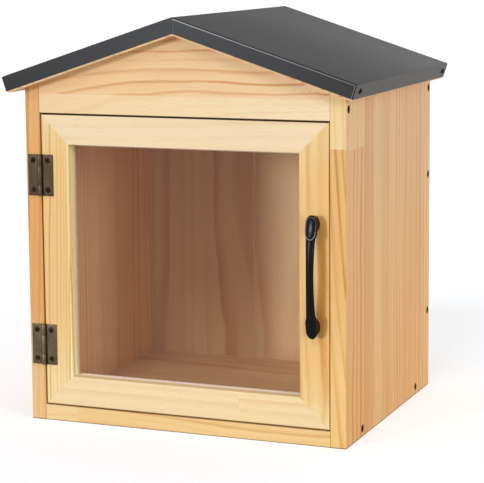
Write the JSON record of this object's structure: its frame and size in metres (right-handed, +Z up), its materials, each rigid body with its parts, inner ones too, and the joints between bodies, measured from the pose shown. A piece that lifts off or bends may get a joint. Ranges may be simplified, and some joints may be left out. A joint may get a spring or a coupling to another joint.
{
  "type": "book exchange box",
  "caption": "House-shaped pine box for sharing books in the street, with a folded-steel pitched roof and a hinged door with a clear pane and a bow handle.",
  "frame": {"origin": "centre of the base, on the plane the box stands on", "axes": "+X to the right seen from the front, +Y from the front to the back, +Z up; the door is on the -Y side"},
  "size_m": [0.3468, 0.2877, 0.384],
  "materials": {
    "pine_sides": "edge-glued pine boards with upright grain, clear satin oil",
    "pine_floor": "pine board, grain across the box, clear satin oil",
    "pine_back": "edge-glued pine panel with upright grain, clear satin oil",
    "pine_gables": "pine board, grain across the box with cathedral arcs, clear satin oil",
    "pine_roof": "pine board under the steel, clear satin oil",
    "pine_stiles": "pine moulding with upright grain, clear satin oil",
    "pine_rails": "pale pine moulding with level grain, clear satin oil",
    "roof_steel": "sheet steel with a smooth satin dark grey coat",
    "clear_pane": "clear acrylic sheet",
    "handle_black": "cast metal with a satin black coat",
    "hinge_bronze": "brass with a dark antique bronze patina",
    "screws_black": "steel with a dark brown-black coat",
    "screws_bright": "bright zinc-plated steel",
    "catch_plastic": "moulded brown plastic",
    "catch_steel": "bright zinc-plated sheet steel",
    "magnet": "dark grey ferrite"
  },
  "bodies": {
    "case": {"back_gable": "pine_gables", "back_panel": "pine_back", "back_panel_screws_left": "screws_black", "back_panel_screws_right": "screws_black", "catch_body": "catch_plastic", "catch_magnet": "magnet", "catch_pole_plates": "catch_steel", "catch_screws": "screws_bright", "floor_board": "pine_floor", "floor_screws_left": "screws_black", "floor_screws_right": "screws_black", "front_gable": "pine_gables", "gable_screws_left": "screws_black", "gable_screws_right": "screws_black", "hinge_lower_case_leaf": "hinge_bronze", "hinge_lower_pin": "hinge_bronze", "hinge_screws_case": "screws_black", "hinge_upper_case_leaf": "hinge_bronze", "hinge_upper_pin": "hinge_bronze", "roof_board_left": "pine_roof", "roof_board_right": "pine_roof", "roof_board_screws_left": "screws_black", "roof_board_screws_right": "screws_black", "roof_sheet": "roof_steel", "roof_sheet_screws_left": "screws_black", "roof_sheet_screws_right": "screws_black", "side_panel_left": "pine_sides", "side_panel_right": "pine_sides"},
    "door": {"door_handle": "handle_black", "door_pane": "clear_pane", "door_rail_bottom": "pine_rails", "door_rail_top": "pine_rails", "door_stile_handle_side": "pine_stiles", "door_stile_hinge_side": "pine_stiles", "handle_screws": "screws_bright", "hinge_lower_door_leaf": "hinge_bronze", "hinge_screws_door": "screws_black", "hinge_upper_door_leaf": "hinge_bronze", "pane_screws_rails": "screws_bright", "pane_screws_stiles": "screws_bright", "strike_plate": "catch_steel", "strike_screw": "screws_bright"}
  },
  "joints": [
    {"name": "door_swing", "type": "hinge", "parent": "case", "child": "door", "pos_m": [-0.14275, -0.1337, 0.155], "axis": [0, 0, -1], "range_deg": [0, 180]}
  ]
}
